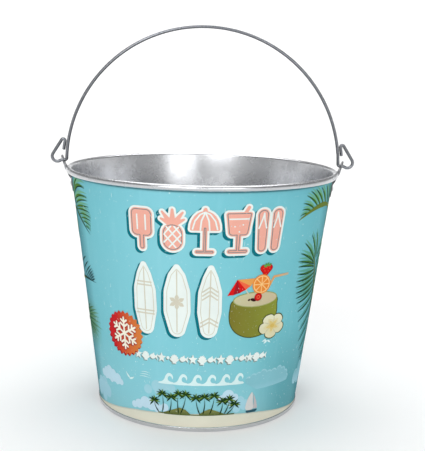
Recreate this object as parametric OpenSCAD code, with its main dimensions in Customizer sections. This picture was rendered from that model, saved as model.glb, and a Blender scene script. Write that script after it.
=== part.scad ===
// Printed tinplate ice bucket with a wire bail.
// Z is up. The origin is the centre of the resting plane, and the bail turns about X.

/* [Bucket] */
// Outside diameter over the rolled rim
rim_d = 228; // [216:1:244]
// Height from the resting plane to the top of the rim
bucket_h = 201; // [180:1:225]
// Outside diameter of the wall at the resting plane
base_d = 170.4; // [156:0.2:182]
// Thickness of the tinplate wall and floor
sheet_t = 0.4; // [0.3:0.05:0.45]

/* [Rim and seams] */
// Diameter of the rolled rim bead
bead_d = 4.6; // [4.6:0.1:5.4]
// Diameter of the wire that the rim is rolled around
rim_wire_d = 3.6; // [2.6:0.1:3.6]
// Height of the seam that joins the floor to the wall
seam_h = 3.4; // [2.8:0.1:5]
// Height of the floor's underside above the resting plane
floor_z = 3; // [2:0.1:4]
// Width of the lock seam that closes the wall
lock_w = 6; // [4:0.5:9]
// How far the lock seam stands proud of the wall
lock_t = 0.8; // [0.5:0.1:1.2]
// Direction of the lock seam, counted from the right ear towards the back
lock_az = 17; // [15:1:90]

/* [Ears] */
// Thickness of the ear plate
ear_t = 1; // [0.8:0.1:1.2]
// Width of the ear plate
ear_w = 26; // [22:1:32]
// Height of the ear plate below its neck
ear_h = 15; // [13:1:18]
// Diameter of the eye that the bail turns in
eye_d = 3.8; // [3.4:0.1:4.4]
// Outside diameter of the ring around the eye
eye_ring_d = 8.4; // [7.6:0.2:9]
// Distance between the two rivets of one ear
rivet_pitch = 15; // [12:0.5:17]
// Diameter of a rivet shank
rivet_d = 3; // [2.4:0.1:3.6]

/* [Bail] */
// Diameter of the bail wire
wire_d = 2.6; // [2:0.1:2.8]
// Height of the bail's pivot above the rim
pivot_rise = 3.4; // [3:0.1:5]
// Radius of the hoop to the middle of the wire
hoop_r = 114.4; // [113.8:0.1:114.5]
// Height of the hoop's centre above the rim
hoop_rise = 1.6; // [0:0.1:3]
// Radius of the round bottom of the hook
hook_r = 4.3; // [3.8:0.1:6]
// Height of the hook above the pivot
hook_h = 19; // [16:0.5:24]
// Length of the wire end that is laid back along the hoop
tail_l = 7; // [4:0.5:9]

/* [Hidden] */

fine = 96;
small = 32;
gap = 0.05;

// Wall: a cone whose outer face runs up into the inner face of the rolled rim
bead_r = bead_d / 2;
bead_c = [rim_d / 2 - bead_r, bucket_h - bead_r];
bead_reach = bead_c - [base_d / 2, 0];
wall_tilt = atan2(bead_reach[0], bead_reach[1]) - asin((bead_r - sheet_t) / norm(bead_reach));
sheet_w = sheet_t / cos(wall_tilt);
wall_end = sheet_t + gap;
curl_end = 218;

// Floor: a panel with a raised ring, and a folded hook around the foot of the wall
hook_t = 2 * sheet_t;
panel_r = 0.72 * base_d / 2;
panel_rise = 1.2;
panel_ramp = 3;

// Ears
plate_z = bucket_h - 22;
plate_top = plate_z + ear_h;
corner_r = 5;
rivet_z = plate_z + ear_h / 2 - 0.5;
pivot_z = bucket_h + pivot_rise;
eye_r = hoop_r + 2.7;
foot_out = ear_t / 2 + gap;
bead_out = bead_r + ear_t / 2 + 0.1;

// Rivets
head_r = 3;
head_h = 1.3;
dome_r = (head_r * head_r + head_h * head_h) / (2 * head_h);
tail_r = 2.5;
tail_h = 0.7;

// Bail
wire_r = wire_d / 2;
lap = 0.1;
lap_t = 0.03;
hoop_z = bucket_h + hoop_rise;
bend_r = wire_r + 0.5;
tip_r = wire_r + 0.2;
bend_z = pivot_z + bend_r;
bend_x = sqrt(pow(hoop_r + bend_r, 2) - pow(bend_z - hoop_z, 2));
bend_a = atan2(bend_z - hoop_z, bend_x);
drop_x = eye_r + 0.9;
drop_r = 3;
drop_a = 30;
drop_run = 0.8;
drop_c = [drop_x, pivot_z - drop_r];
drop_end = drop_c + drop_r * [sin(drop_a), cos(drop_a)];
hook_in = drop_end + drop_run * [cos(drop_a), -sin(drop_a)];
hook_c = hook_in + hook_r * [sin(drop_a), cos(drop_a)];
tip_far = hoop_r + wire_d + 0.15 + tip_r;
tip_z = pivot_z + hook_h - tip_r - wire_r;
tip_a = asin((tip_z - hoop_z) / tip_far);
tip_c = [tip_far * cos(tip_a), tip_z];
hook_run = tip_c - hook_c;
hook_lean = atan2(hook_run[1], hook_run[0]) + asin((hook_r - tip_r) / norm(hook_run));
hook_leg = sqrt(pow(norm(hook_run), 2) - pow(hook_r - tip_r, 2));

// Radius of the wall's outer and inner face at a height
function wall_out(z) = base_d / 2 + z * tan(wall_tilt);
function wall_in(z) = wall_out(z) - sheet_w;
// Point on a circle
function polar(centre, radius, angle) = centre + radius * [cos(angle), sin(angle)];
// Unit normal on the left of the step from one point to the next
function left_normal(from, to) = [from[1] - to[1], to[0] - from[0]] / norm(to - from);
function mitre(n1, n2) = (n1 + n2) / (1 + n1 * n2);
// Offset of each point of a path, for a strip of even thickness
function path_mitres(path) = [for (i = [0:len(path) - 1])
    i == 0 ? left_normal(path[0], path[1])
    : i == len(path) - 1 ? left_normal(path[i - 1], path[i])
    : mitre(left_normal(path[i - 1], path[i]), left_normal(path[i], path[i + 1]))];

// Section of a sheet that is bent along a path
module strip(path, thickness) {
    side = path_mitres(path);
    right = [for (i = [0:len(path) - 1]) path[i] - side[i] * thickness / 2];
    left = [for (i = [len(path) - 1:-1:0]) path[i] + side[i] * thickness / 2];
    polygon(concat(right, left));
}

// Cylinder that stands on the wall, square to it, at a height and a direction
module wall_peg(azimuth, z, radius, from, to) {
    rotate([0, 0, azimuth])
        translate([wall_out(z), 0, z])
            rotate([0, 90 + wall_tilt, 0])
                translate([0, 0, from])
                    cylinder(r = radius, h = to - from, $fn = small);
}

function rivet_az(side, row) = (side > 0 ? 0 : 180) + row * asin(rivet_pitch / 2 / wall_out(rivet_z));

module rivet_holes(radius) {
    for (side = [-1, 1], row = [-1, 1])
        wall_peg(rivet_az(side, row), rivet_z, radius, -5, 5);
}

// Section of the wall, from the floor seam up into the open curl of the rim
module wall_section() {
    polygon([
        [wall_in(wall_end), wall_end],
        [wall_out(wall_end), wall_end],
        polar(bead_c, bead_r - sheet_t, 180 - wall_tilt),
        polar(bead_c, bead_r - sheet_t / 2, 176 - wall_tilt),
        polar(bead_c, bead_r, 180 - wall_tilt)]);
    difference() {
        translate(bead_c) circle(r = bead_r, $fn = small);
        translate(bead_c) circle(r = bead_r - sheet_t, $fn = small);
        polygon([
            bead_c,
            polar(bead_c, bead_d, 180 - wall_tilt),
            polar(bead_c, bead_d, 198),
            polar(bead_c, bead_d, curl_end)]);
    }
}

// Folded layers of the lock seam, standing proud of the wall
module lock_seam() {
    low = seam_h + 0.6;
    high = bucket_h - bead_d - 1;
    rotate([0, 0, lock_az])
        intersection() {
            rotate([0, 0, -8])
                rotate_extrude(angle = 16, $fn = fine)
                    polygon([
                        [wall_out(low) - sheet_t / 2, low],
                        [wall_out(low) + lock_t, low],
                        [wall_out(high) + lock_t, high],
                        [wall_out(high) - sheet_t / 2, high]]);
            translate([0, -lock_w / 2, 0]) cube([rim_d, lock_w, bucket_h]);
        }
}

module side_wall() {
    color("mediumturquoise")
        difference() {
            union() {
                rotate_extrude($fn = fine) wall_section();
                lock_seam();
            }
            rivet_holes(rivet_d / 2 + gap);
        }
}

module rim_wire() {
    color("silver")
        rotate_extrude($fn = fine)
            translate(bead_c) circle(r = rim_wire_d / 2, $fn = small);
}

module base_pan() {
    floor_mid = floor_z + sheet_t / 2;
    leg_r = wall_in(floor_mid) - gap - sheet_w / 2;
    color("gainsboro")
        rotate_extrude($fn = fine)
            union() {
                strip([
                    [0, floor_mid + panel_rise],
                    [panel_r - panel_ramp, floor_mid + panel_rise],
                    [panel_r, floor_mid],
                    [leg_r, floor_mid],
                    [wall_in(sheet_t / 2) - gap - sheet_w / 2, sheet_t / 2],
                    [wall_out(sheet_t / 2) + gap + hook_t / 2, sheet_t / 2]], sheet_t);
                polygon([
                    [wall_out(0) + gap, 0],
                    [wall_out(0) + gap + hook_t, 0],
                    [wall_out(seam_h) + gap + hook_t, seam_h],
                    [wall_out(seam_h) + gap, seam_h]]);
            }
}

// Section of an ear: flat on the wall, out around the rim bead, then up to the eye
module ear_section() {
    neck_z = plate_top - 4;
    strip([
        [wall_out(plate_z) + foot_out, plate_z],
        [wall_out(neck_z) + foot_out, neck_z],
        polar(bead_c, bead_out + 0.5, -10),
        [eye_r, pivot_z],
        [eye_r, pivot_z] + ([eye_r, pivot_z] - polar(bead_c, bead_out + 0.5, -10))], ear_t);
}

// Outline of an ear, seen from outside the bucket
module ear_outline() {
    translate([-ear_w / 2, plate_z + corner_r]) square([ear_w, ear_h - 2 * corner_r]);
    translate([-ear_w / 2 + corner_r, plate_z]) square([ear_w - 2 * corner_r, ear_h]);
    for (side = [-1, 1], z = [plate_z + corner_r, plate_top - corner_r])
        translate([side * (ear_w / 2 - corner_r), z]) circle(r = corner_r, $fn = small);
    polygon([
        [-ear_w / 2 + corner_r + 1, plate_top - 1],
        [ear_w / 2 - corner_r - 1, plate_top - 1],
        [eye_ring_d / 2, pivot_z - 3],
        [eye_ring_d / 2, pivot_z],
        [-eye_ring_d / 2, pivot_z],
        [-eye_ring_d / 2, pivot_z - 3]]);
    translate([0, pivot_z]) circle(d = eye_ring_d, $fn = small);
}

module ear() {
    difference() {
        intersection() {
            rotate([0, 0, -10]) rotate_extrude(angle = 20, $fn = fine) ear_section();
            rotate([90, 0, 90]) linear_extrude(height = rim_d) ear_outline();
        }
        translate([eye_r - 6, 0, pivot_z])
            rotate([0, 90, 0])
                cylinder(d = eye_d, h = 12, $fn = small);
        rivet_holes(rivet_d / 2 + gap);
    }
}

module left_ear() {
    color("silver") rotate([0, 0, 180]) ear();
}

module right_ear() {
    color("silver") ear();
}

// Rivet: domed head outside the ear, shank, and the tail that is set inside the wall
module rivet(side, row) {
    head_w = 2 * gap + ear_t + 0.05;
    tail_w = -sheet_t - 0.05;
    color("lightgrey")
        rotate([0, 0, rivet_az(side, row)])
            translate([wall_out(rivet_z), 0, rivet_z])
                rotate([0, 90 + wall_tilt, 0])
                    rotate_extrude($fn = small) {
                        translate([0, tail_w]) square([rivet_d / 2, head_w - tail_w]);
                        translate([0, tail_w - tail_h]) square([tail_r, tail_h]);
                        intersection() {
                            translate([0, head_w + head_h - dome_r]) circle(r = dome_r, $fn = fine);
                            translate([0, head_w]) square([head_r, head_h]);
                        }
                    }
}

module left_front_rivet() { rivet(-1, 1); }
module left_rear_rivet() { rivet(-1, -1); }
module right_front_rivet() { rivet(1, -1); }
module right_rear_rivet() { rivet(1, 1); }

// Arc of wire in the XZ plane
module wire_arc(centre, radius, from, to, thickness = wire_r) {
    translate([centre[0], 0, centre[1]])
        rotate([90, 0, 0])
            rotate([0, 0, from])
                rotate_extrude(angle = to - from, $fn = fine)
                    translate([radius, 0]) circle(r = thickness, $fn = small);
}

// Bend between two lengths of wire: a hair thicker than they are, and lapped over their ends
module wire_bend(centre, radius, from, to) {
    lap_a = atan(lap / radius);
    wire_arc(centre, radius, from - lap_a, to + lap_a, wire_r + lap_t);
}

// Straight length of wire in the XZ plane, from a point along a heading
module wire_run(start, heading, length) {
    translate([start[0], 0, start[1]])
        rotate([0, 90 - heading, 0])
            cylinder(r = wire_r, h = length, $fn = small);
}

// Hook on the right end: through the eye, down a little, round, up to the hoop and back along it
module hook() {
    wire_bend([bend_x, bend_z], bend_r, 180 + bend_a, 270);
    wire_run([bend_x, pivot_z], 0, drop_x - bend_x);
    wire_bend(drop_c, drop_r, 90 - drop_a, 90);
    wire_run(drop_end, -drop_a, drop_run);
    wire_bend(hook_c, hook_r, -90 - drop_a, hook_lean - 90);
    wire_run(polar(hook_c, hook_r, hook_lean - 90), hook_lean, hook_leg);
    wire_bend(tip_c, tip_r, hook_lean - 90, 180 + tip_a);
    wire_run(polar(tip_c, tip_r, 180 + tip_a), tip_a - 90, tail_l);
}

module bail() {
    color("darkgrey") {
        wire_arc([0, hoop_z], hoop_r, bend_a, 180 - bend_a);
        hook();
        rotate([0, 0, 180]) hook();
    }
}

side_wall();
rim_wire();
base_pan();
left_ear();
right_ear();
left_front_rivet();
left_rear_rivet();
right_front_rivet();
right_rear_rivet();
bail();
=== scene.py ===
"""Looks of the printed tinplate ice bucket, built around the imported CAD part.

Lengths are in millimetres until a mesh is made, and in metres in Blender.
The print is laid out flat: u runs round the wall in millimetres, z is the height.
"""

import math
import random

import bmesh
import bpy
import numpy as np
from mathutils import Matrix, Vector
from mathutils.geometry import delaunay_2d_cdt


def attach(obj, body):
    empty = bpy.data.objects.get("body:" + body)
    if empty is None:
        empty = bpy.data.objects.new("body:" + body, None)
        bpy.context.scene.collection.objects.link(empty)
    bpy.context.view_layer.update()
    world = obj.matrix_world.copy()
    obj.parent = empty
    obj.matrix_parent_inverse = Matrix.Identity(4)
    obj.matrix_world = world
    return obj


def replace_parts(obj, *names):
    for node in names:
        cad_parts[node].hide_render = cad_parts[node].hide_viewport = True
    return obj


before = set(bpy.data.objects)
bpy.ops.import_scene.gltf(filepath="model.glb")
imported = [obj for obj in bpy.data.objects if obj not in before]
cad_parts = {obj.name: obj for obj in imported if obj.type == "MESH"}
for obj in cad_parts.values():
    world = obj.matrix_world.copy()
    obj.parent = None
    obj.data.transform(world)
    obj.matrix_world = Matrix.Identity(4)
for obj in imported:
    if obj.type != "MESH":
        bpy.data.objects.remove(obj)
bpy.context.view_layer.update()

MM = 0.001

# Bucket, as in the CAD part
BASE_R = 85.2
WALL_RUN = 0.12374
WALL_TILT = math.atan(WALL_RUN)
SHEET_T = 0.4
SHEET_W = 0.403
GAP = 0.05
BEAD_R = 2.3
BEAD_X = 111.7
BEAD_Z = 198.7
CURL_END = 218.0
CURL_STEPS = 44
WALL_END = 0.45
SEAM_H = 3.4
SEAM_LIP = 0.42
FLOOR_Z = 3.0
HOOK_T = 0.8
PANEL_R = 61.34
PANEL_RISE = 1.2
PANEL_RAMP = 3.0
LOCK_AZ = 17.0
LOCK_TOP = 195.4
LOCK_ROWS = 24
RINGS = 288

# Ears and rivets
EAR_T = 1.0
EAR_W = 26.0
EAR_SHOULDER = 6.0
EAR_NECK = 3.0
EAR_CLEAR = 0.6
EAR_EDGE = 0.22
PLATE_Z = 179.0
PLATE_TOP = 194.0
CORNER_R = 5.0
PIVOT_Z = 204.4
EYE_R = 117.1
EYE_HOLE_R = 1.9
EYE_RING_R = 4.2
RIVET_Z = 186.0
RIVET_PITCH = 15.0
RIVET_R = 1.5
RIVET_SIDES = 36
HEAD_R = 3.0
HEAD_H = 1.3
TAIL_R = 2.5
TAIL_H = 0.7

# Bail
WIRE_R = 1.3
WIRE_SIDES = 24
HOOP_R = 114.4
HOOP_Z = 202.6
BEND_R = 1.8
HOOK_R = 4.3
HOOK_H = 19.0
DROP_OUT = 0.9
DROP_R = 3.0
DROP_A = 30.0
DROP_RUN = 0.8
TIP_R = 1.5
TIP_GAP = 0.15
TAIL_L = 7.0

# Print
PRINT_R = 98.0
PRINT_REACH = math.radians(95.0) * PRINT_R
CUT_STEP = 2.5
INK_BASE = 0.012
INK_STEP = 0.05
INK_T = 0.045

# ---- materials


def linear(r, g, b):
    """Linear colour with alpha from an sRGB colour in 0 to 255."""
    out = []
    for channel in (r, g, b):
        c = channel / 255.0
        out.append(c / 12.92 if c <= 0.04045 else ((c + 0.055) / 1.055) ** 2.4)
    return (*out, 1.0)


def grey(level):
    return (level, level, level, 1.0)


class Paint:
    """A material in the making, with short ways to add nodes to it."""

    def __init__(self, name):
        self.material = bpy.data.materials.new(name)
        self.material.use_nodes = True
        self.tree = self.material.node_tree
        self.coords = self.node("TexCoord").outputs["Object"]

    def fill(self, node, sockets):
        """Give each socket its value, or link it where the value is a socket."""
        for key, value in sockets.items():
            if isinstance(value, bpy.types.NodeSocket):
                self.tree.links.new(value, node.inputs[key])
            else:
                node.inputs[key].default_value = value

    def node(self, kind, sockets=None, **settings):
        made = self.tree.nodes.new("ShaderNode" + kind)
        for key, value in settings.items():
            setattr(made, key, value)
        self.fill(made, sockets or {})
        return made

    def noise(self, scale, detail, roughness=0.55, place=None):
        sockets = {"Vector": place or self.coords, "Scale": scale, "Detail": detail, "Roughness": roughness}
        return self.node("TexNoise", sockets).outputs["Fac"]

    def stretched(self, scale):
        return self.node("Mapping", {"Vector": self.coords, "Scale": scale}).outputs["Vector"]

    def spread(self, value, low, high, to_low, to_high):
        sockets = {"Value": value, "From Min": low, "From Max": high, "To Min": to_low, "To Max": to_high}
        return self.node("MapRange", sockets).outputs["Result"]

    def mix(self, factor, a, b, kind="MIX"):
        sockets = {0: factor, 6: a, 7: b}
        return self.node("Mix", sockets, data_type="RGBA", blend_type=kind).outputs[2]

    def maths(self, operation, a, b=0.0):
        return self.node("Math", {0: a, 1: b}, operation=operation).outputs[0]

    def times(self, first, *others):
        for other in others:
            first = self.maths("MULTIPLY", first, other)
        return first

    def bump(self, height, strength, distance):
        sockets = {"Height": height, "Strength": strength, "Distance": distance}
        return self.node("Bump", sockets).outputs["Normal"]

    def axis(self, name):
        return self.node("SeparateXYZ", {0: self.coords}).outputs[name]

    def run(self):
        """Way across the picture, to the right of its middle, on the front and on the back."""
        return self.times(self.axis("X"), self.maths("SIGN", self.axis("Y")), -1.0)

    def finish(self, sockets):
        self.fill(self.tree.nodes["Principled BSDF"], sockets)
        return self.material

    def lacquer(self, colour):
        """Satin lacquer over ink: uneven gloss and the faint orange peel of a baked coat."""
        gloss = self.spread(self.noise(55.0, 4.0), 0.3, 0.7, 0.24, 0.36)
        peel = self.bump(self.noise(900.0, 2.0), 0.12, 0.0001)
        coat = {"Coat Weight": 0.10, "Coat Roughness": 0.30, "Specular IOR Level": 0.0}
        return self.finish({"Base Color": colour, "Roughness": gloss, "Normal": peel} | coat)


def ink(name, colour, wear=0.35, second=None, axis="", low=0.0, high=0.0):
    """Litho ink: uneven colour, fine flecks where the ink is thin, lacquer on top.

    It may shade into a second colour between low and high, along an axis or across the picture.
    """
    paint = Paint(name)
    body = linear(*colour)
    if second:
        place = paint.run() if axis == "side" else paint.axis(axis)
        body = paint.mix(paint.spread(place, low * MM, high * MM, 0.0, 1.0), body, linear(*second))
    patch = paint.spread(paint.noise(38.0, 5.0, 0.6), 0.32, 0.68, 0.0, 1.0)
    toned = paint.mix(1.0, body, paint.mix(patch, grey(0.93), grey(1.0)), "MULTIPLY")
    flecks = paint.spread(paint.noise(620.0, 2.0, 0.5), 0.68, 0.74, 0.0, wear)
    return paint.lacquer(paint.mix(flecks, toned, linear(214, 226, 222)))


# Sky colours from the foot to the rim, by share of the height
SKY_TOP = 0.2
SKY_FOOT = (136, 186, 192)
SKY_RIM = (108, 182, 194)
SKY_STOPS = [(0.12, (130, 190, 200)), (0.35, (110, 185, 195)), (0.62, (111, 186, 197))]
SKY_STOPS += [(0.85, (109, 186, 197))]


def printed_ground():
    """The sky: teal, with a painted pool of light left of the middle, painted shade at both sides, a darker
    patch on the lower right, a painted shadow line under the rolled rim, painted reflection streaks, and worn
    flecks.
    """
    paint = Paint("printed_sky")
    spread = paint.spread
    height = paint.axis("Z")
    run = paint.run()
    ramp = paint.node("ValToRGB", {"Fac": spread(height, 0.0, SKY_TOP, 0.0, 1.0)})
    elements = ramp.color_ramp.elements
    elements[0].color = linear(*SKY_FOOT)
    elements[1].color = linear(*SKY_RIM)
    for position, colour in SKY_STOPS:
        elements.new(position).color = linear(*colour)
    girth = paint.maths("ADD", paint.times(height, WALL_RUN), BASE_R * MM)
    turned = paint.maths("DIVIDE", run, girth)
    # Distance from the middle of the painted pool of light, left of the front
    off_lit_spot = paint.maths("ABSOLUTE", paint.maths("ADD", run, 0.03))
    off_fan = paint.maths("ABSOLUTE", paint.maths("SUBTRACT", height, 0.073))
    # The darker patch on the lower right and the green glow fade out where the front and the back picture
    # meet
    lower_right_dark = paint.times(
        spread(run, 0.042, 0.066, 0.0, 1.0),
        spread(height, 0.035, 0.085, 0.62, 0.0),
        spread(turned, 0.95, 1.0, 1.0, 0.0),
    )
    glow = paint.times(
        spread(turned, -0.94, -0.84, 0.8, 0.0),
        spread(off_fan, 0.004, 0.022, 1.0, 0.0),
        spread(turned, -1.0, -0.96, 0.0, 1.0),
    )
    # Painted shade: the sky darkens towards both sides of the wall
    left_edge_shade = spread(turned, -0.88, -0.97, 0.0, 0.7)
    right_edge_shade = spread(turned, 0.90, 1.0, 0.0, 0.7)
    # Painted reflection: faint lighter vertical streaks on the wall
    reflection_streaks = paint.noise(3.0, 3.0, place=paint.stretched((60.0, 60.0, 5.0)))
    body = ramp.outputs["Color"]
    for factor, colour in (
        # Painted light: a lighter pool left of the middle
        (spread(off_lit_spot, 0.0, 0.075, 0.55, 0.0), (138, 201, 213)),
        (spread(paint.noise(14.0, 6.0, 0.62), 0.36, 0.66, 0.0, 0.26), (132, 195, 203)),
        (lower_right_dark, (72, 146, 156)),
        (paint.maths("MAXIMUM", left_edge_shade, right_edge_shade), (30, 102, 114)),
        (glow, (84, 122, 62)),
        # Painted shadow: a dark line at the top of the print, under the rolled rim
        (spread(height, 0.1944, 0.1958, 0.0, 0.75), (24, 52, 62)),
        (spread(reflection_streaks, 0.55, 0.75, 0.0, 0.10), (160, 214, 224)),
        (spread(paint.noise(520.0, 2.0, 0.5), 0.70, 0.75, 0.0, 0.6), (214, 232, 232)),
    ):
        body = paint.mix(factor, body, linear(*colour))
    return paint.lacquer(body)


def steel(name, colour, low, high, stretch=(1.0, 1.0, 1.0), scratch=0.25, tarnish=0.16):
    """Bare metal: drawn or rolled grain, uneven gloss, a little grime in patches."""
    paint = Paint(name)
    clean, worn, dark = ((*(c * factor for c in colour), 1.0) for factor in (1.0, 0.7, 0.45))
    grain = paint.noise(650.0, 4.0, 0.6, paint.stretched(stretch))
    patch = paint.spread(paint.noise(45.0, 5.0, 0.65), 0.35, 0.7, 0.0, 1.0)
    dull = paint.mix(paint.times(patch, tarnish), clean, dark)
    tinted = paint.mix(paint.spread(grain, 0.3, 0.7, 0.0, 0.12), dull, worn)
    uneven = paint.maths("ADD", paint.times(patch, 0.5), paint.times(grain, 0.5))
    gloss = paint.spread(uneven, 0.2, 0.8, low, high)
    normal = paint.bump(grain, scratch, 0.00005)
    return paint.finish({"Base Color": tinted, "Roughness": gloss, "Normal": normal, "Metallic": 1.0})


sky = printed_ground()
bare = steel("bare_tinplate", (0.62, 0.63, 0.65), 0.20, 0.34, (1.0, 1.0, 6.0), 0.15, 0.10)
seam_metal = steel("seam_tinplate", (0.62, 0.63, 0.65), 0.16, 0.28, (1.0, 1.0, 8.0), 0.2, 0.15)
ear_metal = steel("ear_steel", (0.15, 0.155, 0.165), 0.24, 0.40, (1.0, 4.0, 1.0), 0.3, 0.3)
rivet_metal = steel("rivet_steel", (0.60, 0.61, 0.62), 0.22, 0.38)
wire_metal = steel("galvanised_wire", (0.23, 0.24, 0.26), 0.20, 0.36, scratch=0.35, tarnish=0.3)
rim_metal = steel("rim_wire_steel", (0.55, 0.56, 0.58), 0.3, 0.45)

# Colour and wear of each ink; some shade into a second colour, between two places along an axis
INKS = {
    "white": [(223, 232, 228), 0.2],
    "foam": [(208, 232, 232), 0.2],
    "salmon": [(228, 166, 150)],
    "shadow": [(14, 108, 120)],
    "inline": [(70, 120, 126)],
    "beige": [(202, 198, 180)],
    "cream": [(236, 230, 212)],
    "greige": [(122, 138, 134)],
    "cloud": [(188, 216, 230), 0.35, (182, 215, 228), "Z", 24, 42],
    "haze": [(160, 206, 220), 0.35, (130, 188, 199), "Z", 24, 38],
    "haze_light": [(158, 205, 217), 0.35, (150, 200, 211), "Z", 30, 46],
    "sand": [(220, 216, 198), 0.3, (210, 211, 194), "Z", 3, 16],
    "wet_sand": [(196, 200, 186)],
    "mound": [(80, 92, 50), 0.35, (118, 124, 70), "Z", 14, 18],
    "palm": [(18, 44, 22), 0.1, (34, 64, 26), "Z", 16, 34],
    "palm_light": [(98, 128, 48), 0.1],
    "boat_hull": [(44, 84, 98)],
    "sail": [(208, 208, 206)],
    "sail_shade": [(190, 184, 186)],
    "coconut": [(118, 114, 44), 0.35, (132, 142, 56), "side", 26, 60],
    "coconut_line": [(66, 76, 34)],
    "flesh": [(192, 188, 150), 0.35, (194, 180, 148), "side", 30, 60],
    "flesh_line": [(150, 158, 96)],
    "red": [(202, 20, 22), 0.15],
    "dark_red": [(150, 24, 36), 0.15],
    "orange": [(224, 134, 54), 0.2],
    "parasol_orange": [(222, 154, 82), 0.2],
    "coral": [(226, 100, 66), 0.2],
    "pith": [(240, 196, 132), 0.15],
    "leaf": [(88, 152, 72), 0.1],
    "bean": [(52, 22, 24), 0.1],
    "petal": [(222, 221, 192), 0.2, (213, 208, 172), "Z", 95, 78],
    "petal_warm": [(216, 208, 164), 0.15],
    "petal_mid": [(214, 194, 126), 0.15],
    "petal_heart": [(210, 180, 98), 0.15],
    "petal_fold": [(194, 190, 160), 0.15],
    "straw": [(214, 160, 106), 0.2, (178, 178, 156), "side", 58, 73],
    "badge": [(192, 30, 36), 0.3, (206, 122, 60), "side", -66, -46],
    "frond": [(34, 90, 66), 0.1, (72, 122, 40), "Z", 80, 165],
    "frond_dark": [(4, 46, 54), 0.05, (4, 48, 30), "Z", 90, 180],
    "frond_pale": [(78, 156, 148), 0.1, (112, 176, 142), "Z", 90, 180],
    "frond_faint": [(74, 122, 74), 0.1, (98, 152, 122), "side", -92, -82],
    "rib": [(34, 72, 52), 0.1, (104, 124, 46), "Z", 70, 140],
    "speck": [(206, 230, 232), 0.1],
}
inks = {name: ink(name + "_ink", *entry) for name, entry in INKS.items()}

# ---- mesh helpers


def wall_out(z):
    """Outside radius of the wall at a height."""
    return BASE_R + z * WALL_RUN


def on_circle(radius, k, count):
    """Corner k of a regular polygon round the origin."""
    a = 2 * math.pi * k / count
    return (radius * math.cos(a), radius * math.sin(a))


def around(radius, degrees):
    a = math.radians(degrees)
    return (radius * math.cos(a), radius * math.sin(a))


def moved(points, u, z):
    """Points or discs moved by u and z."""
    return [(p[0] + u, p[1] + z, *p[2:]) for p in points]


def polar(radius, degrees):
    """Point on a circle round the middle of the rolled rim."""
    return moved([around(radius, degrees)], BEAD_X, BEAD_Z)[0]


def make_object(name, points, faces, materials, indices=None, sharp=35.0):
    """Mesh object from points in millimetres, smooth apart from its sharp edges."""
    mesh = bpy.data.meshes.new(name)
    mesh.from_pydata([Vector(p) * MM for p in points], [], faces)
    for material in materials:
        mesh.materials.append(material)
    if indices is not None:
        mesh.polygons.foreach_set("material_index", indices)
    mesh.validate()
    solid = bmesh.new()
    solid.from_mesh(mesh)
    bmesh.ops.recalc_face_normals(solid, faces=solid.faces)
    solid.to_mesh(mesh)
    solid.free()
    mesh.shade_smooth()
    mesh.set_sharp_from_angle(angle=math.radians(sharp))
    made = bpy.data.objects.new(name, mesh)
    bpy.context.scene.collection.objects.link(made)
    return made


def rounded(points, radii, steps=5):
    """Closed outline with its corners rounded by the given radii."""
    out = []
    for i, (point, radius) in enumerate(zip(points, radii)):
        here = Vector(point)
        back = (Vector(points[i - 1]) - here).normalized()
        ahead = (Vector(points[(i + 1) % len(points)]) - here).normalized()
        if radius <= 0 or back.dot(ahead) < -0.9999:
            out.append(tuple(here))
            continue
        half = math.acos(max(-1.0, min(1.0, back.dot(ahead)))) / 2
        reach = radius / math.tan(half)
        centre = here + (back + ahead).normalized() * (radius / math.sin(half))
        start = here + back * reach - centre
        turn = start.angle_signed(here + ahead * reach - centre)
        for k in range(steps + 1):
            arm = start.copy()
            arm.rotate(Matrix.Rotation(-turn * k / steps, 2))
            out.append(tuple(centre + arm))
    return out


def revolve(name, outline, materials, split=None, rings=RINGS, axis=False):
    """Outline of (radius, height) turned about Z. Points on the axis become one point.

    From point number split on, the outline has the second material.
    """
    points = []
    columns = []
    for radius, height in outline:
        first = len(points)
        if radius < 1e-6:
            points.append((0.0, 0.0, height))
            columns.append([first] * rings)
            continue
        points += [(*on_circle(radius, k, rings), height) for k in range(rings)]
        columns.append(list(range(first, first + rings)))
    faces = []
    indices = []
    for i in range(len(outline) - (1 if axis else 0)):
        low = columns[i]
        high = columns[(i + 1) % len(outline)]
        for k in range(rings):
            n = (k + 1) % rings
            faces.append(list(dict.fromkeys([low[k], low[n], high[n], high[k]])))
            indices.append(0 if split is None or i < split else 1)
    return make_object(name, points, faces, materials, indices)


def loft(rows, width, capped=True):
    """Faces between rows of points, where each row is a ring of width points."""
    last = (rows - 1) * width
    faces = []
    for base in range(0, last, width):
        for k in range(width):
            n = (k + 1) % width
            faces.append([base + k, base + n, base + width + n, base + width + k])
    if capped:
        faces += [list(range(width)), list(range(last, last + width))]
    return faces


def bent_wire(name, path, radius, material):
    """Round wire along a path of points and tangents in the XZ plane, with domed ends."""
    caps = []
    for end, order in ((0, 1), (-1, -1)):
        place, tangent = path[end]
        cap = []
        for tilt in (80, 60, 40, 20):
            a = math.radians(tilt)
            shift = Vector(tangent) * (-order * radius * 0.45 * math.sin(a))
            cap.append((Vector(place) + shift, tangent, radius * math.cos(a)))
        caps.append(cap)
    stations = caps[0] + [(Vector(place), tangent, radius) for place, tangent in path] + caps[1][::-1]
    points = []
    for centre, tangent, r in stations:
        side = Vector((-tangent[1], tangent[0]))
        for k in range(WIRE_SIDES):
            across, y = on_circle(r, k, WIRE_SIDES)
            flat = centre + side * across
            points.append((flat.x, y, flat.y))
    return make_object(name, points, loft(len(stations), WIRE_SIDES), [material], sharp=50.0)


# ---- bucket shell

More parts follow.
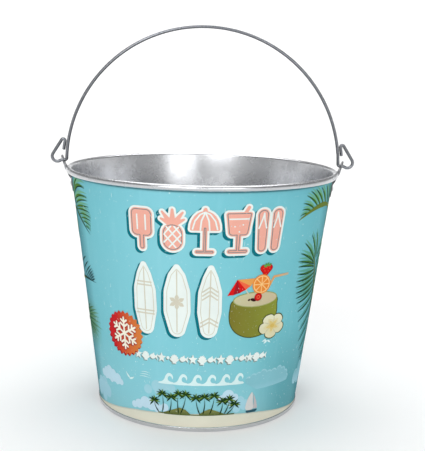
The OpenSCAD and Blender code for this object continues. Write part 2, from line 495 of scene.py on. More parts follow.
curl_start = 180 - math.degrees(WALL_TILT)
curl_inner = []
curl_outer = []
for step in range(CURL_STEPS + 1):
    angle = curl_start + (CURL_END - 360 - curl_start) * step / CURL_STEPS
    curl_inner.append(polar(BEAD_R - SHEET_T, angle))
    curl_outer.append(polar(BEAD_R, angle))
wall_heights = [WALL_END, SEAM_H + 0.3, 24.0, 48.0, 72.0, 96.0, 120.0, 144.0, 168.0, 188.0]
outer_face = [(wall_out(z), z) for z in wall_heights]
inner_face = [(wall_out(z) - SHEET_W, z) for z in wall_heights]
wall_outline = outer_face + curl_inner + curl_outer[::-1] + inner_face[::-1]
wall = revolve("wall_sheet", wall_outline, [sky, bare], len(outer_face))
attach(wall, "bucket")
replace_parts(wall, "side_wall")

# Folded lock seam that closes the wall: its section is given as (across, proud of the wall)
lock_section = [(-3.0, -0.1), (-3.0, 0.35), (-2.75, 0.68), (-2.3, 0.8), (-1.0, 0.8)]
lock_section += [(-across, proud) for across, proud in lock_section[::-1]]
lock_low = SEAM_H + 0.6
lock_points = []
for row in range(LOCK_ROWS + 1):
    z = lock_low + (LOCK_TOP - lock_low) * row / LOCK_ROWS
    for across, proud in lock_section:
        r = wall_out(z) + proud
        a = math.radians(LOCK_AZ) + across / wall_out(z)
        lock_points.append((r * math.cos(a), r * math.sin(a), z))
lock = make_object("lock_seam", lock_points, loft(LOCK_ROWS + 1, len(lock_section)), [sky])
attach(lock, "bucket")

# Floor pan with its raised panel and the seam hooked round the foot of the wall
pan_corners = [
    (0.0, FLOOR_Z + PANEL_RISE, 0),
    (PANEL_R - PANEL_RAMP, FLOOR_Z + PANEL_RISE, 1.4),
    (PANEL_R, FLOOR_Z, 1.0),
    (wall_out(3.2) - 2 * SHEET_W - GAP, FLOOR_Z, 0.4),
    (wall_out(0.2) - 2 * SHEET_W - GAP, 0.0, 0.3),
    (wall_out(0.0) + GAP + HOOK_T, 0.0, 0.55),
    (wall_out(SEAM_H) + GAP + HOOK_T, SEAM_H, 0.38),
    (wall_out(SEAM_H) + GAP, SEAM_H, 0.3),
    (wall_out(SEAM_LIP) + GAP, SEAM_LIP, 0.0),
    (wall_out(SEAM_LIP) - SHEET_W - GAP, SEAM_LIP, 0.0),
    (wall_out(SEAM_H) - SHEET_W - GAP, FLOOR_Z + SHEET_T, 0.05),
    (PANEL_R, FLOOR_Z + SHEET_T, 1.4),
    (PANEL_R - PANEL_RAMP, FLOOR_Z + SHEET_T + PANEL_RISE, 1.0),
    (0.0, FLOOR_Z + SHEET_T + PANEL_RISE, 0),
]
pan_outline = rounded([corner[:2] for corner in pan_corners], [corner[2] for corner in pan_corners])
pan = revolve("floor_pan", pan_outline, [seam_metal], axis=True)
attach(pan, "bucket")
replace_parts(pan, "base_pan")

rim_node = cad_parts["rim_wire"]
rim_node.data.materials.clear()
rim_node.data.materials.append(rim_metal)

# ---- flat outlines


def covered(middles, outline):
    """Which of the middles (an array of u, z) lie inside a closed outline."""
    ring = np.array(outline)
    ahead = np.roll(ring, -1, axis=0)
    near = np.all((middles >= ring.min(0)) & (middles <= ring.max(0)), axis=1)
    inside = np.zeros(len(middles), bool)
    if not near.any():
        return inside
    u = middles[near, 0][:, None]
    z = middles[near, 1][:, None]
    spans = (ring[:, 1] > z) != (ahead[:, 1] > z)
    rise = np.where(ahead[:, 1] == ring[:, 1], 1.0, ahead[:, 1] - ring[:, 1])
    crossing = ring[:, 0] + (z - ring[:, 1]) * (ahead[:, 0] - ring[:, 0]) / rise
    inside[near] = np.sum(spans & (u < crossing), axis=1) % 2 == 1
    return inside


def triangulate(outlines, cuts_u, cuts_z=(), odd=False):
    """Triangles of the area inside the outlines, cut along the given lines.

    With odd, outlines inside outlines are holes; otherwise overlapping outlines are joined.
    """
    points = []
    edges = []
    for outline in outlines:
        first = len(points)
        count = len(outline)
        points.extend(Vector(p) for p in outline)
        edges += [(first + k, first + (k + 1) % count) for k in range(count)]
    low_u = min(p.x for p in points) - 1
    high_u = max(p.x for p in points) + 1
    low_z = min(p.y for p in points) - 1
    high_z = max(p.y for p in points) + 1
    cuts = [((u, low_z), (u, high_z)) for u in cuts_u if low_u < u < high_u]
    cuts += [((low_u, z), (high_u, z)) for z in cuts_z if low_z < z < high_z]
    for start, end in cuts:
        points += [Vector(start), Vector(end)]
        edges.append((len(points) - 2, len(points) - 1))
    out = delaunay_2d_cdt(points, edges, [], 0, 1e-4, False)
    flat = np.array([tuple(p) for p in out[0]])
    triangles = np.array([list(face) for face in out[2]])
    middles = flat[triangles].mean(axis=1)
    layers = np.zeros(len(triangles), int)
    for outline in outlines:
        layers += covered(middles, outline)
    wanted = layers % 2 == 1 if odd else layers > 0
    return [tuple(p) for p in flat], [list(map(int, face)) for face in triangles[wanted]]


def shell(flat, faces, place):
    """Closed thin solid: place(u, z, side) gives the far (1) and near (0) face."""
    used = sorted({v for face in faces for v in face})
    number = {v: i for i, v in enumerate(used)}
    total = len(used)
    points = [place(*flat[v], side) for side in (1, 0) for v in used]
    made = []
    sides = {}
    for face in faces:
        top = [number[v] for v in face]
        made += [top, [v + total for v in reversed(top)]]
        sides.update(dict.fromkeys(zip(top, top[1:] + top[:1])))
    made += [[b, a, a + total, b + total] for a, b in sides if (b, a) not in sides]
    return points, made


def decal(name, outlines, level, ink_name, odd=False):
    """Layer of ink on the wall, on the front and turned half round on the back."""
    last = int(PRINT_REACH / CUT_STEP)
    flat, faces = triangulate(outlines, [k * CUT_STEP for k in range(-last, last + 1)], odd=odd)
    near = INK_BASE + level * INK_STEP
    all_points = []
    all_faces = []
    for turn in (1, -1):

        def place(u, z, far):
            radius = wall_out(z) + near + far * INK_T
            a = u / PRINT_R
            return (turn * radius * math.sin(a), -turn * radius * math.cos(a), z)

        points, made = shell(flat, faces, place)
        first = len(all_points)
        all_points += points
        all_faces += [[v + first for v in face] for face in made]
    piece = make_object("print_" + name, all_points, all_faces, [inks[ink_name]], sharp=40.0)
    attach(piece, "bucket")


def at(degrees, z):
    """Print point from an angle right of the front and a height."""
    return (math.radians(degrees) * PRINT_R, z)


def spots(*places):
    """Print points or discs from (degrees, z) or (degrees, z, radius)."""
    return [(*at(*place[:2]), *place[2:]) for place in places]


def cross(a, b, c):
    return (b[0] - a[0]) * (c[1] - a[1]) - (b[1] - a[1]) * (c[0] - a[0])


def hull(discs, grow=0.0, shift=(0.0, 0.0), sides=24):
    """Convex outline round discs (u, z, radius), each grown by grow; shift drags it along a line."""
    cloud = []
    for u, z, radius in discs:
        for k in range(sides):
            x, y = on_circle(radius + grow, k, sides)
            cloud.append((u + x, z + y))
            if shift != (0.0, 0.0):
                cloud.append((u + x + shift[0], z + y + shift[1]))
    cloud = sorted(set(cloud))

    def chain(points):
        out = []
        for p in points:
            while len(out) > 1 and cross(out[-2], out[-1], p) <= 1e-9:
                out.pop()
            out.append(p)
        return out[:-1]

    return chain(cloud) + chain(cloud[::-1])


def line(points, thickness, sides=12):
    """Round-ended line through points, as one outline for each length."""
    r = thickness / 2
    return [hull([(*a, r), (*b, r)], sides=sides) for a, b in zip(points, points[1:])]


def oval(u, z, half_u, half_z, tilt=0.0, count=40):
    t = math.radians(tilt)
    out = []
    for k in range(count):
        a = 2 * math.pi * k / count
        x = half_u * math.cos(a)
        y = half_z * math.sin(a)
        out.append((u + x * math.cos(t) - y * math.sin(t), z + x * math.sin(t) + y * math.cos(t)))
    return out


def blade(root, tip, sag, thickness, fat=0.35, count=10):
    """Leaf blade from root to tip, bowed sideways by sag, widest at share fat of its length."""
    run = Vector(tip) - Vector(root)
    normal = Vector((-run.y, run.x)).normalized()
    middle = (Vector(root) + Vector(tip)) / 2 + normal * sag * 2

    def bow(t):
        a, b, c = (1 - t) ** 2, 2 * t * (1 - t), t * t
        return Vector([a * p + b * q + c * r for p, q, r in zip(root, middle, tip)])

    left = []
    right = []
    for k in range(count + 1):
        t = k / count
        along = bow(min(1.0, t + 0.02)) - bow(max(0.0, t - 0.02))
        n = Vector((-along.y, along.x)).normalized()
        rise = (t / fat) ** 0.6 if t < fat else ((1 - t) / (1 - fat)) ** 0.8
        half = max(0.06, thickness / 2 * rise)
        left.append(tuple(bow(t) + n * half))
        right.append(tuple(bow(t) - n * half))
    return left + right[::-1]


def smooth(points, steps=6):
    """Closed curve through points."""
    out = []
    for i in range(len(points)):
        p0, p1, p2, p3 = (Vector(points[(i + k) % len(points)]) for k in (-1, 0, 1, 2))
        square = 2 * p0 - 5 * p1 + 4 * p2 - p3
        cube = 3 * p1 - p0 - 3 * p2 + p3
        for k in range(steps):
            t = k / steps
            out.append(tuple(0.5 * (2 * p1 + (p2 - p0) * t + square * t**2 + cube * t**3)))
    return out


# ---- print: large row

SHADOW = (-2.1, -1.7)
LINE_OUT = 1.5
INLINE_FROM = 0.9
INLINE_TO = 1.4
INLINE_LEAST_R = 1.7
ROW_ONE_Z = 146.6
ROW_ONE_TALL = 1.07


def mirrored(groups):
    return [[(-p[0], *p[1:]) for p in group] for group in groups]


# Each picture is groups of discs in a box 37 high, each group drawn as its hull, and then its white lines
grip = [[(-3.2, 17), (-3.2, 27.5)]]
lolly = (
    [
        [(-3.9, 16, 4.6), (3.9, 16, 4.6), (3.9, 28.2, 4.6), (-3.9, 28.2, 4.6)],
        [(0, 4.4, 2.5), (0, 13, 2.5)],
    ],
    grip + mirrored(grip),
)
leaf_up = [[(-1.5, 23.4, 2.2), (-7.2, 31, 0.8)]]
leaf_out = [[(-2, 23, 2.2), (-8.2, 26, 0.8)]]
slats = [[(-5.6, 15.5), (-1.2, 20.8)], [(-6, 9), (4.2, 20.2)], [(-2.4, 5.6), (6, 14.8)]]
pineapple = (
    [
        [(0, 10, 7.6), (0, 15.8, 7.6)],
        [(0, 23, 2.4), (0, 32.8, 1)],
        *leaf_up,
        *mirrored(leaf_up),
        *leaf_out,
        *mirrored(leaf_out),
    ],
    slats + mirrored(slats),
)
canopy = [(*around(1, degrees), 1.2) for degrees in range(0, 181, 15)]
outer_rib = [[(-8.6, 19.5), (-7, 25.4), (-3.4, 30.2), (0, 31.8)]]
inner_rib = [[(-3.2, 19), (-2.6, 25.5), (0, 31.8)]]
parasol = (
    [
        [(9.2 * x, 19.5 + 12.0 * y, r) for x, y, r in canopy],
        [(0, 3.6, 1.7), (0, 20, 1.7)],
        [(-5.4, 3, 1.7), (5.4, 3, 1.7)],
        [(0, 31, 2), (0, 33.8, 1.3)],
    ],
    outer_rib + mirrored(outer_rib) + inner_rib + mirrored(inner_rib),
)
goblet = (
    [
        [(-7.6, 30, 1.9), (7.6, 30, 1.9), (4.4, 17.4, 3.4), (-4.4, 17.4, 3.4)],
        [(0, 4, 1.9), (0, 16, 2.2)],
        [(-6, 3.2, 1.9), (6, 3.2, 1.9)],
        [(3.6, 30, 1.3), (6.4, 35, 1.3)],
    ],
    [
        [(-6.8, 26.8), (6.8, 26.8)],
        *([(x, z), (x + 0.1, z)] for x, z in ((-3, 21.4), (0.4, 17.6), (2.9, 22.6))),
    ],
)
sole = [[(-5.4, 5.2, 3.9), (-5.9, 17.5, 3.6), (-6, 29, 4.7)]]
straps = [[(-9, 19.5), (-6.4, 27), (-5.6, 30.4)], [(-3, 19.5), (-5, 26), (-5.6, 30.4)]]
sandals = (sole + mirrored(sole), straps + mirrored(straps[::-1]))

shadows = []
outlines = []
fills = []
inlines = []
cores = []
details = []
row_one = ((lolly, -25), (pineapple, -11.6), (parasol, 1.6), (goblet, 15.4), (sandals, 29.4))
for (groups, strokes), degrees in row_one:
    foot = at(degrees, ROW_ONE_Z)
    for group in groups:
        placed = moved([(x, y * ROW_ONE_TALL, r) for x, y, r in group], *foot)
        shadows.append(hull(placed, LINE_OUT, SHADOW))
        outlines.append(hull(placed, LINE_OUT))
        fills.append(hull(placed))
        if min(disc[2] for disc in placed) >= INLINE_LEAST_R:
            inlines.append(hull(placed, -INLINE_FROM))
            cores.append(hull(placed, -INLINE_TO))
    for stroke in strokes:
        details += line(moved([(x, y * ROW_ONE_TALL) for x, y in stroke], *foot), 1.1)

# Middle row: three surfboards, each with its angle, half width and marks
ROW_TWO_Z = 80.6
FLOWER_Z = ROW_TWO_Z + 28.5
board_lines = []
board_rings = []
board_cores = []
for degrees, half, marks in ((-25, 9.3, "band"), (-10, 10.2, "flower"), (4.6, 9, "chevron")):
    u0, foot_z = foot = at(degrees, ROW_TWO_Z)
    body = [(0, 6.6, 6.4), (0, 21, half), (0, 36, half - 0.4), (0, 48, half - 3.6)]
    board = moved([*body, (0, 56.2, 2.2)], *foot)
    shadows.append(hull(board, 0.4, SHADOW))
    outlines.append(hull(board, 0.4))
    inset = moved([*body, (0, 54.6, 2.4)], *foot)
    board_rings.append(hull(inset, -1.9))
    board_cores.append(hull(inset, -2.4))
    board_lines += line(moved([(0, 4), (0, 53.5)], *foot), 0.9)
    if marks == "band":
        for z in (17, 19.6, 40, 42.6):
            reach = half - 2.0 if z < 30 else half - 3.6
            board_lines += line(moved([(-reach, z), (reach, z)], *foot), 1.1)
    if marks == "flower":
        for x, y in (around(6.4, 60 * k + 30) for k in range(6)):
            board_lines.append(blade((u0, FLOWER_Z), (u0 + x, FLOWER_Z + y), 0, 3.4, 0.6))
    if marks == "chevron":
        for z in (12, 15.2, 34, 37.2, 40.4):
            reach = half - 2.4 if z < 30 else half - 3.4
            board_lines += line(moved([(-reach, -3), (0, 1), (reach, -3)], u0, foot_z + z), 1.1)

decal("shadows", shadows, 2, "shadow")
decal("white", outlines, 3, "white")
decal("salmon", fills, 4, "salmon")
decal("inline", inlines, 5, "inline")
decal("salmon_core", cores, 6, "salmon")
decal("details", details, 7, "white")
decal("board_inline", board_rings, 4, "beige")
decal("board_core", board_cores, 5, "white")
decal("board_bands", board_lines, 6, "beige")

# ---- print: small row and waves

SMALL_ROW_Z = 57.8


def sea_sign(kind, place):
    """Outlines of a small sea picture, about 8 high, with the middle of its foot at place."""
    if kind == "star":
        tips = [around(1.9 if k % 2 else 4.4, 90 + 36 * k) for k in range(10)]
        return [moved([(x * 0.9, y + 4.3) for x, y in tips], *place)]
    if kind == "fish":
        body = hull(moved([(-0.8, 4.2, 2.1), (-2.9, 4.2, 0.5), (1.6, 4.2, 0.8)], *place))
        tail = moved([(1.2, 4.2), (4, 7), (3.2, 4.2), (4, 1.4)], *place)
        return [body, tail, moved([(-1.2, 6), (0.6, 7.6), (0.8, 5.6)], *place)]
    lobes = []
    for x, y in (around(1, 24 + 22 * k) for k in range(7)):
        lobes.append(hull(moved([(0, 1.2, 0.9), (3.3 * x, 1.4 + 5.6 * y, 0.72)], *place)))
    return lobes + [moved([(-1.8, 0.2), (1.8, 0.2), (1, 1.8), (-1, 1.8)], *place)]


sign_degrees = []
for start, stop, amount in ((-30.4, -17.8, 4), (-11.4, 15.4, 7), (22, 33.2, 4)):
    sign_degrees += [start + (stop - start) * k / (amount - 1) for k in range(amount)]
small_row = []
for k, degrees in enumerate(sign_degrees):
    small_row += sea_sign(("star", "shell", "fish")[k % 3], at(degrees, SMALL_ROW_Z))
small_row += [hull([dot]) for dot in spots((-14.6, 62.4, 1.3), (18.8, 62.4, 1.3))]
small_shadow = [moved(shape, -0.8, -0.8) for shape in small_row]

# Outline of a breaking wave, 12 long, with its foot at 0
COMBER = [(0, -0.8), (0, 0.4), (2.6, 1.2), (4.6, 3.2), (5.9, 6.2), (8.2, 8.6), (10.9, 8.1), (12.4, 5.7)]
COMBER += [(11.9, 3.4), (11.1, 5.2), (9.5, 6.2), (8, 5.1), (7.8, 3.1), (9.3, 1.5), (12.4, 0.9), (12.4, -0.8)]
wave_row = [smooth(moved(COMBER, *at(-19.5 + 7.1 * k, 40.8)), 4) for k in range(6)]
for rise in (0, 2, 4):
    wave_row.append(blade(at(-30.6 + rise * 0.3, 43.0 + rise), at(-24.4, 42.8 + rise), 0.7, 0.55, 0.5))

# Birds made of strokes, each given by its two ends and its bow
flying = ((0.2, 0, -4.4, 5.2, 0.5), (-0.6, 0.2, 4.6, 2.3, -0.7), (-0.9, 0.4, 1.4, -0.7, 0))
gliding = ((0, -0.2, -1.2, 2.7, 0), (-0.5, 2.6, -4.3, 0.9, 0.3), (-2.2, -1.2, 2, 1.2, 0.3))
gliding += ((1.2, 1.1, 4.8, -1.2, 0.3),)
birds = []
for strokes, place in ((flying, at(-36.7, 38.8)), (gliding, at(34.2, 73))):
    birds += [blade(*moved([(a, b), (c, d)], *place), bow, 1.7, 0.4) for a, b, c, d, bow in strokes]
decal("small_row_shadow", small_shadow, 1, "greige")
decal("small_row", small_row, 2, "white")
decal("waves", wave_row, 2, "foam")
decal("birds", birds, 2, "foam")

# ---- print: bottle-cap badge

BADGE = at(-38, 77)
CAP_TEETH = 24
CAP_R = 18.8
CAP_ROOT_R = 16.6
FLAKE_R = 13.0

cap_radii = (CAP_R, (CAP_R + CAP_ROOT_R) / 2, CAP_ROOT_R, (CAP_R + CAP_ROOT_R) / 2)
cap = moved([on_circle(cap_radii[k % 4], k, CAP_TEETH * 4) for k in range(CAP_TEETH * 4)], *BADGE)
flake = []
flake_edge = []
for k in range(6):
    ray = Vector(around(1, 60 * k + 30))
    side = Vector((-ray.y, ray.x))
    centre = Vector(BADGE)
    strokes = [[tuple(centre), tuple(centre + ray * FLAKE_R)]]
    for share, twig in ((0.42, 3.6), (0.70, 2.8)):
        knot = centre + ray * FLAKE_R * share
        for sign in (-1, 1):
            strokes.append([tuple(knot), tuple(knot + ray * twig * 0.7 + side * sign * twig)])
    for stroke in strokes:
        flake += line(stroke, 1.7)
        flake_edge += line(moved(stroke, -0.35, -0.35), 2.9)
decal("badge_shadow", [moved(cap, -0.9, -1.1)], 4, "dark_red")
decal("badge", [cap], 5, "badge")
decal("badge_flake_edge", flake_edge, 7, "dark_red")
decal("badge_flake", flake, 8, "cream")

# ---- print: coconut drink

nut = spots((14.9, 109.4), (14, 103), (13.9, 96.5), (14.8, 90), (17.4, 84.2), (21.5, 80.4), (26.2, 79.3))
nut += spots((31.5, 81), (35.5, 86), (37.7, 92), (38.3, 99), (37.9, 104.5), (37.4, 109.6))
nut += spots((32.5, 113.2), (26.2, 114.6), (19.8, 113.2))
nut_curve = smooth(nut)
mouth = at(26.3, 110.4)
decal("nut_line", line(nut_curve + nut_curve[:1], 1.6, 8), 1, "coconut_line")
decal("nut", [nut_curve], 2, "coconut")
decal("nut_rim", [oval(*mouth, 19.4, 6.4)], 3, "flesh_line")
decal("nut_flesh", [oval(*mouth, 18.6, 5.6)], 4, "flesh")

peak = at(16.4, 127.4)
hem = spots((12.2, 114.6), (14.9, 115), (17.9, 116.6), (20.6, 118.9), (22.9, 121.7), (24.3, 125))
hem += spots((24.6, 127.8))
folds = []
for left, right in zip(hem, hem[1:]):
    dip = (Vector(left) + Vector(right)) / 2
    dip = dip + (Vector(peak) - dip) * 0.02
    folds.append([peak, left, tuple(dip), right])
decal("parasol_red", folds[:1], 5, "red")
decal("parasol_dark", folds[1:2], 5, "dark_red")
decal("parasol_front", folds[2:3], 5, "red")
decal("parasol_coral", folds[3:4], 5, "coral")
decal("parasol_orange", folds[4:], 5, "parasol_orange")
decal("parasol_stick", line(spots((20, 120.5), (23.8, 110.8)), 0.9), 4, "beige")

fruit = at(28.2, 122.4)
wedges = []
for start in range(0, 360, 45):
    wedge = [around(0.9, start + 22.5)] + [around(6.2, start + 4 + 7.4 * j) for j in range(6)]
    wedges.append(moved(wedge, *fruit))
decal("slice_rind", [oval(*fruit, 7.9, 7.9, count=48)], 6, "orange")
decal("slice_pith", [oval(*fruit, 7, 7, count=48)], 7, "pith")
decal("slice_flesh", wedges, 8, "orange")

berry = at(29.9, 133.6)
berry_discs = moved([(-2.6, 1.6, 2.4), (2.6, 1.6, 2.4), (-0.2, -3.6, 1)], *berry)
seeds = moved([(-2.6, 1.6), (0.2, 2), (2.8, 1.2), (-1.3, -0.6), (1.5, -0.9), (0, -3)], *berry)
sepal_ends = [(0.4, 3.4), (-3.4, 4.6), (-1.2, 6), (1.8, 6.2), (4.4, 4.8), (3.6, 3), (-2.8, 2.9)]
stalk, *sepals = moved(sepal_ends, *berry)
decal("berry_edge", [hull(berry_discs, 0.5)], 4, "dark_red")
decal("berry", [hull(berry_discs)], 5, "red")
decal("berry_seeds", [oval(*seed, 0.28, 0.5, count=10) for seed in seeds], 6, "coral")
decal("berry_leaves", [blade(stalk, tip, 0.3, 1.5) for tip in sepals], 6, "leaf")
decal("straw", line(spots((31.6, 118), (34.6, 127.4), (42.6, 128)), 1.9), 3, "straw")

cherry = at(27, 112.2)
decal("cherry_edge", [oval(*cherry, 3.3, 3.3)], 6, "dark_red")
decal("cherry", [oval(*cherry, 2.7, 2.7)], 7, "red")
decal("cherry_ring", [oval(*cherry, 1.5, 1.5), oval(*cherry, 0.9, 0.9)], 8, "coral", odd=True)
decal("beans", [oval(*at(24.7, 110.2), 2.6, 1.3, -18), oval(*at(22.6, 110.4), 1.2, 0.8, 20)], 5, "bean")

BLOOM = at(36.7, 86.4)
BLOOM_SQUASH = 0.80
# Petal outline as (degrees off its middle line, distance from the flower's middle)
PETAL = ((-4, 0.6), (-40, 5), (-36, 9.2), (-20, 12), (4, 12.8), (26, 11.6), (38, 8.6), (36, 4.6))


def petal_point(degrees, reach):
    """Point of the flower at an angle and distance from its middle, a little flattened."""
    x, y = around(reach, degrees)
    return (BLOOM[0] + x, BLOOM[1] + y * BLOOM_SQUASH)


turns = [48.0 + 72.0 * k for k in range(5)]
petal_edges = [smooth([petal_point(turn + off, r * 1.06 + 0.3) for off, r in PETAL]) for turn in turns]
petals = [smooth([petal_point(turn + off, r) for off, r in PETAL]) for turn in turns]
petal_folds = [blade(petal_point(turn + 34, 9.2), petal_point(turn + 30, 2), 0.3, 0.7, 0.3) for turn in turns]
decal("bloom_edge", petal_edges, 5, "coconut_line")
decal("bloom", petals, 6, "petal")
decal("bloom_warm", [blade(BLOOM, petal_point(turn, 8.8), 0, 6.4, 0.5) for turn in turns], 7, "petal_warm")
decal("bloom_folds", petal_folds, 8, "petal_fold")
decal("bloom_glow", [blade(BLOOM, petal_point(turn, 6.4), 0, 3.6, 0.4) for turn in turns], 9, "petal_mid")
decal("bloom_heart", [oval(*BLOOM, 2.2, 1.7)], 10, "petal_heart")

# ---- print: sky, sand and island


def cloud(*lumps):
    """Lumps of cloud, each a disc (degrees, z, radius)."""
    return [hull([disc], sides=28) for disc in spots(*lumps)]


clouds = cloud((-60, 34, 3.4), (-56.5, 36.2, 4.4), (-53.2, 38.4, 4.8), (-49.6, 37.4, 4), (-46, 35, 4.2))
clouds += cloud((-43.6, 32.6, 2.8), (-57.5, 31.8, 2.4), (-52, 31.8, 3), (-47, 31.4, 2.4))
clouds.append(hull(spots((-58, 32.2, 1.6), (-45, 31.8, 1.6), (-46, 35, 3), (-57, 35, 3))))
clouds += cloud((-35, 17, 3), (-32, 18.5, 4), (-28, 21, 5), (-24.5, 20, 5), (-21, 18, 4), (-17, 19, 3.6))
clouds += cloud((15.8, 30.4, 5.4), (12.4, 28, 3.4), (19.4, 28.6, 3.4))
hazes = cloud((26, 41.6, 2.6), (29, 43, 3.2), (32, 43.4, 3.4), (35, 44.6, 3.8), (38.6, 42.8, 4), (42, 43, 4))
hazes += cloud((46, 44.4, 3.6), (49.2, 42, 3.8), (52, 39, 3.4), (53.6, 35.6, 2.4))
hazes.append(hull(spots((25.4, 40.4, 1.2), (36, 42, 2), (50, 41, 2), (53, 34.6, 1.4), (32, 34.4, 1.4))))
hazes += cloud((-70, 15, 6), (-66, 20, 7), (-61, 22, 6.5), (-57.5, 18, 5.5), (-63, 12.5, 5.5))
hazes += cloud((18, 24, 4), (22, 23, 5), (25.4, 20.5, 4), (21, 19, 4))
hazes += cloud((66, 30, 6), (72, 34, 7), (78, 31, 6), (72, 27, 5))
haze_middle = cloud((-26, 33, 4), (-21, 37, 5), (-17, 38, 4.4), (-13, 36, 3.4), (-20, 33, 4))
decal("haze_light", [moved(shape, 0.5, 1.2) for shape in hazes], 0, "haze_light")
decal("haze_middle", haze_middle, 0, "haze_light")
decal("haze", hazes, 1, "haze")
decal("clouds", clouds, 2, "cloud")

shore = [(-89.9, 3.75), (-80, 3.9), (-67, 5.2), (-50, 8.6), (-35, 12), (-20, 13.8), (0, 15.1)]
shore += [(-degrees, z) for degrees, z in shore[-2::-1]]
above, below = ([(d, z + rise if abs(d) < 80 else z) for d, z in shore] for rise in (0.5, -0.5))
decal("sand", [spots(*shore, (89.9, 3.6), (-89.9, 3.6))], 3, "sand")
decal("shore", [spots(*above, *below[-2:0:-1])], 4, "wet_sand")

mounds = [
    hull(spots((-17, 14.6, 0.9), (-12, 16.8, 1.6), (-9, 18.4, 2), (-6.4, 17.4, 1.6), (-4, 14.8, 0.9))),
    hull(spots((1.6, 14.8, 0.9), (4, 16.6, 1.6), (6.6, 17.8, 2), (9.6, 16.6, 1.6), (13.6, 14.8, 0.8))),
    hull(spots((-20.4, 14.5, 0.5), (19.6, 14.5, 0.5))),
]
decal("mounds", mounds, 5, "mound")

# Palms of the island, as (angle of the crown, height of the crown, angle of the foot)
PALMS = [(-22.6, 24, -20.2), (-18, 30.6, -18.2), (-13.4, 28.6, -14.6), (-9.6, 31.6, -9.4), (-5.8, 31.4, -8.6)]
PALMS += [(-0.6, 28.8, 1.6), (3.6, 29.6, 3), (8.6, 30.6, 6.4), (13, 25.8, 11.8), (16.6, 27, 14.2)]
PALMS += [(19.6, 22.4, 15.6)]
dice = random.Random(11)
trunks = []
crowns = []
crown_lights = []
for crown_degrees, crown_z, foot_degrees in PALMS:
    crown = at(crown_degrees, crown_z)
    bow = 0.8 if crown_degrees < foot_degrees else -0.8
    trunks.append(blade(at(foot_degrees, 15), (crown[0], crown[1] - 0.3), bow, 1.1, 0.15))
    for k in range(9):
        x, y = around(1, -40 + 260 * k / 8 + dice.uniform(-7, 7))
        length = 5.9 * dice.uniform(0.86, 1.1)
        tip = (crown[0] + length * x, crown[1] + length * y * 0.86 - 0.5)
        pile = crown_lights if k % 3 == 1 else crowns
        pile.append(blade(crown, tip, -0.4 if x < 0 else 0.4, 1.6, 0.45, 6))
decal("palm_lights", crown_lights, 6, "palm_light")
decal("palms", trunks + crowns, 7, "palm")

MAST_U = at(30, 0)[0]
main_sail = [(-6.4, 16.6), (-5.8, 24), (-2.2, 30.6), (-0.6, 30), (0.4, 23), (1.2, 16.4)]
jib = [(0.2, 30), (4.2, 22.4), (5.8, 16.4), (1.8, 16.3), (1.4, 23)]
boat = [(-5.4, 14.8, 0.7), (5.2, 15, 0.6), (3.6, 13.8, 0.5), (-4.4, 13.7, 0.5)]
decal("sails", [smooth(moved(main_sail, MAST_U, 0))], 4, "sail")
decal("jib", [moved(jib, MAST_U, 0)], 4, "sail_shade")
decal("boat", [hull(moved(boat, MAST_U, 0))], 5, "boat_hull")

# ---- print: palm fronds

stems = []
greens = []
darks = []
pales = []
faints = []


def leaf(pile, root, tip, *form):
    pile.append(blade(at(*root), at(*tip), *form))


def leaflet(root, tip, sag, thick):
    """One leaflet with a dark underside and a pale ghost beside it."""
    a = at(*root)
    b = at(*tip)
    darks.append(blade((a[0], a[1] - thick * 0.35), (b[0], b[1] - thick * 0.3), sag, thick * 0.8, 0.45))
    greens.append(blade(a, b, sag, thick * 0.8, 0.4))
    pales.append(blade((a[0], a[1] + thick * 0.9), (b[0] + 0.6, b[1] + thick * 1.1), sag, thick * 1.2, 0.5))


# Upper left frond: leaflets rise from the rib and bow over to the right
leaf(darks, (-96, 160), (-70, 168.6), 2.4, 4, 0.4)
leaf(greens, (-94, 161.4), (-71, 169.4), 2.2, 2.2, 0.4)
leaf(darks, (-76, 170), (-57.6, 151.6), 0.8, 2.6, 0.3)
leaf(greens, (-75, 170.4), (-60.6, 155.6), 0.8, 1.3, 0.3)
for u, z, tip_u, tip_z, bow, thick in (
    (-76, 184, -66.4, 195.4, 1, 2.4),
    (-76.5, 178, -58.4, 189.4, 5.4, 3.4),
    (-77, 173.6, -57.2, 182.2, 3.4, 2.3),
    (-74, 172.6, -57, 179.4, 1.8, 1.7),
    (-72.6, 170.6, -56.5, 174.4, 1, 1.7),
    (-71, 169, -56, 170.2, 1.3, 1.7),
    (-68.4, 165.8, -55.2, 166.2, 1.5, 1.5),
    (-66, 163.4, -55.6, 163.4, 1, 1.5),
    (-64, 161.2, -56, 159, 0.8, 1.4),
    (-61.6, 158, -56.6, 155.2, 0.5, 1.2),
):
    leaflet((u, z), (tip_u, tip_z), bow, thick)
for k in range(5):
    leaflet((-85.0 - 1.4 * k, 167.0 - 1.6 * k), (-79.0 - 2.2 * k, 188.0 - 3.4 * k), -2, 2.2)
    leaflet((-84.0 - 1.6 * k, 167.0 - 1.8 * k), (-76.0 - 2.6 * k, 150.0 - 3.2 * k), 2, 2.2)

# Small dark frond below it
leaf(stems, (-92, 104), (-70, 111), 1, 3.2, 0.5)
leaf(darks, (-77, 110.4), (-57.2, 111.8), 0.8, 2.2, 0.3)
small = [(-78, 121.6, -66.8, 130.8), (-75, 116.4, -64, 127.6), (-72.4, 113, -61.2, 125.2)]
small += [(-70.4, 111.8, -60.2, 123), (-68.6, 111.2, -59.1, 121.5), (-66.8, 111, -58.6, 119.4)]
small += [(-65, 111, -58, 117.4), (-63.2, 111.2, -57.6, 115)]
for u, z, tip_u, tip_z in small:
    leaf(darks, (u, z), (tip_u, tip_z), 0.3, 1.4, 0.65)

